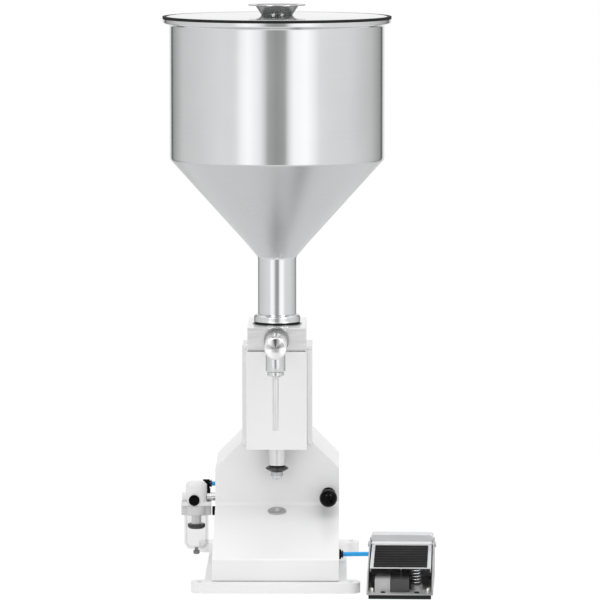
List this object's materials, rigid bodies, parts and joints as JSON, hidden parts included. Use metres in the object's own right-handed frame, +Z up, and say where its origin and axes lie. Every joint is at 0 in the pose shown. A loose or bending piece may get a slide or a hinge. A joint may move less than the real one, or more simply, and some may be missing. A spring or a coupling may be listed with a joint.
{
  "type": "pneumatic liquid filling machine",
  "caption": "Bench-top pneumatic liquid filler: steel cone hopper with lid, valve block and spout on a white column and sloped housing, air filter, push-pull knob and foot pedal on a blue hose.",
  "frame": {"origin": "on the floor plane, under the axis of the hopper", "axes": "+Z up, -Y towards the operator (the spout's side), +X to the operator's right"},
  "size_m": [0.3809, 0.4475, 0.7965],
  "materials": {
    "white_paint": "gloss white powder coat",
    "base_paint": "white paint on a cast plate",
    "polished_steel": "polished stainless steel",
    "brushed_steel": "brushed stainless steel",
    "aluminium": "satin aluminium",
    "nickel": "nickel plate",
    "black_rubber": "black rubber",
    "black_plastic": "gloss black plastic",
    "dark_valve": "dark grey moulding",
    "filter_white": "off-white moulding",
    "filter_grey": "light grey moulding",
    "clear_bowl": "clear polycarbonate",
    "blue_hose": "blue polyurethane hose",
    "navy_plastic": "navy plastic"
  },
  "bodies": {
    "root": {"base_plate": "base_paint", "body_shell": "white_paint", "body_back": "white_paint", "panel_screws": "brushed_steel", "column_channel": "white_paint", "column_cover": "white_paint", "valve_block": "brushed_steel", "pump_barrel": "brushed_steel", "air_barrel": "aluminium", "air_top_cap": "aluminium", "air_bottom_cap": "brushed_steel", "seal_rings": "black_rubber", "spout_collar": "polished_steel", "spout_body": "polished_steel", "nozzle_nut": "polished_steel", "nozzle_tube": "polished_steel", "hopper_shell": "polished_steel", "hopper_ferrule": "polished_steel", "ferrule_gasket": "black_rubber", "ferrule_seat": "polished_steel", "stop_screw": "brushed_steel", "hand_valve_body": "dark_valve", "hand_valve_nut": "black_plastic", "filter_head": "filter_white", "filter_ring": "filter_grey", "filter_bowl": "clear_bowl", "filter_element": "filter_white", "filter_baffle": "black_plastic", "filter_plug": "black_plastic", "elbow_fitting": "black_plastic", "air_hoses": "blue_hose", "wall_nipple": "nickel", "silencer": "black_plastic", "main_valve": "aluminium", "wall_fitting": "black_plastic", "pedal_hose": "blue_hose", "pedal_base": "aluminium", "pedal_cover": "aluminium", "pedal_pin": "brushed_steel", "pedal_valve": "dark_valve", "pedal_fitting": "nickel", "pedal_spring": "brushed_steel", "pedal_strips": "black_rubber", "pedal_screws": "brushed_steel"},
    "lid": {"lid": "polished_steel", "lid_seal": "black_rubber", "lid_knob": "polished_steel"},
    "piston": {"piston_rod": "brushed_steel", "piston_seals": "black_rubber"},
    "stop_collar": {"stop_collar": "brushed_steel"},
    "adjuster": {"adjuster_nut": "brushed_steel"},
    "shuttle": {"valve_shuttle": "brushed_steel"},
    "hand_knob": {"hand_valve_knob": "black_plastic"},
    "treadle": {"pedal_treadle": "aluminium", "pedal_mat": "black_rubber"},
    "plunger": {"pedal_plunger": "brushed_steel"},
    "drain": {"drain_valve": "dark_valve"},
    "ring_left": {"release_ring_left": "navy_plastic"},
    "ring_right": {"release_ring_right": "navy_plastic"}
  },
  "joints": [
    {"name": "lid_lift", "type": "slide", "parent": "root", "child": "lid", "axis": [0, 0, 1], "range_m": [0, 0.12]},
    {"name": "piston_stroke", "type": "slide", "parent": "root", "child": "piston", "axis": [0, 0, -1], "range_m": [0, 0.04]},
    {"name": "adjuster_travel", "type": "slide", "parent": "piston", "child": "stop_collar", "axis": [0, 0, -1], "range_m": [0, 0.004]},
    {"name": "adjuster_spin", "type": "hinge", "parent": "stop_collar", "child": "adjuster", "pos_m": [0, -0.027, 0.149], "axis": [0, 0, -1], "range_deg": [0, 960]},
    {"name": "valve_shift", "type": "slide", "parent": "root", "child": "shuttle", "axis": [0, 1, 0], "range_m": [0, 0.038]},
    {"name": "hand_valve_pull", "type": "slide", "parent": "root", "child": "hand_knob", "axis": [0, -1, 0], "range_m": [0, 0.008]},
    {"name": "pedal_press", "type": "hinge", "parent": "root", "child": "treadle", "pos_m": [0.1742, -0.10303, 0.0535], "axis": [0.9994, -0.0349, 0], "range_deg": [0, 5], "stiffness_Nm_per_rad": 5, "springref_deg": -17.19, "deforming": ["pedal_spring"]},
    {"name": "plunger_push", "type": "slide", "parent": "root", "child": "plunger", "axis": [0, 0, -1], "range_m": [0, 0.005]},
    {"name": "drain_push", "type": "slide", "parent": "root", "child": "drain", "axis": [0, 0, 1], "range_m": [0, 0.002], "stiffness_N_per_m": 300, "springref_m": -0.003},
    {"name": "ring_left_push", "type": "slide", "parent": "root", "child": "ring_left", "axis": [-1, 0, 0], "range_m": [0, 0.001]},
    {"name": "ring_right_push", "type": "slide", "parent": "root", "child": "ring_right", "axis": [-1, 0, 0], "range_m": [0, 0.001]}
  ],
  "couplings": [
    {"joint": "adjuster_travel", "follows": "adjuster_spin", "m_per_rad": 0.0002387},
    {"joint": "plunger_push", "follows": "pedal_press", "m_per_rad": 0.0545}
  ]
}
